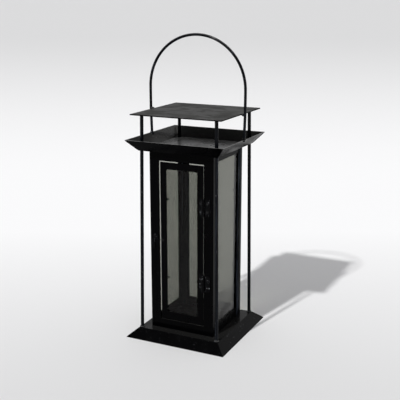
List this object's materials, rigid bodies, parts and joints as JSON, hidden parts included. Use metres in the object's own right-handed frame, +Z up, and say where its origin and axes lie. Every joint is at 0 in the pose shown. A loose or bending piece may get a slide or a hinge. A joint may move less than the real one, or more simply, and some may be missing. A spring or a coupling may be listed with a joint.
{
  "type": "candle lantern",
  "caption": "Square glazed candle lantern on a flared pan, with corner rods, flared roof tray, raised flat top plate, wire bail handle and a hinged latched door.",
  "frame": {"origin": "middle of the foot, on the surface the lantern stands on", "axes": "+Z up; -Y towards the front with the door; +X to the viewer's right when facing the door"},
  "size_m": [0.157, 0.157, 0.44],
  "materials": {
    "black_paint": "glossy",
    "fittings": "glossy",
    "clip_strip": "satin",
    "clear_glass": "clear, teal edges"
  },
  "bodies": {
    "lantern_body": {"base_pan": "black_paint", "roof_tray": "black_paint", "top_plate": "black_paint", "handle": "black_paint", "rod_front_left": "black_paint", "rod_front_right": "black_paint", "rod_rear_left": "black_paint", "rod_rear_right": "black_paint", "post_front_left": "black_paint", "post_front_right": "black_paint", "post_rear_left": "black_paint", "post_rear_right": "black_paint", "bottom_rail_front": "black_paint", "bottom_rail_right": "black_paint", "bottom_rail_rear": "black_paint", "bottom_rail_left": "black_paint", "top_rail_front": "black_paint", "top_rail_right": "black_paint", "top_rail_rear": "black_paint", "top_rail_left": "black_paint", "pane_right": "clear_glass", "pane_rear": "clear_glass", "pane_left": "clear_glass", "clips_right": "clip_strip", "clips_rear": "clip_strip", "clips_left": "clip_strip", "hinge_post_leaf_lower": "fittings", "hinge_post_leaf_upper": "fittings", "hinge_pins": "fittings", "post_rivets": "fittings", "latch_rivet": "fittings"},
    "door": {"door_stile_latch": "black_paint", "door_stile_hinge": "black_paint", "door_rail_top": "black_paint", "door_rail_bottom": "black_paint", "door_pane": "clear_glass", "door_clips": "clip_strip", "hinge_door_leaf_lower": "fittings", "hinge_door_leaf_upper": "fittings", "door_rivets": "fittings", "latch_stud": "fittings"},
    "latch": {"latch_arm": "fittings"}
  },
  "joints": [
    {"name": "door_swing", "type": "hinge", "parent": "lantern_body", "child": "door", "pos_m": [0.0347, -0.0522, 0.1455], "axis": [0, 0, 1], "range_deg": [0, 150]},
    {"name": "latch_turn", "type": "hinge", "parent": "lantern_body", "child": "latch", "pos_m": [-0.0415, -0.0507, 0.154], "axis": [0, 1, 0], "range_deg": [0, 90]}
  ]
}
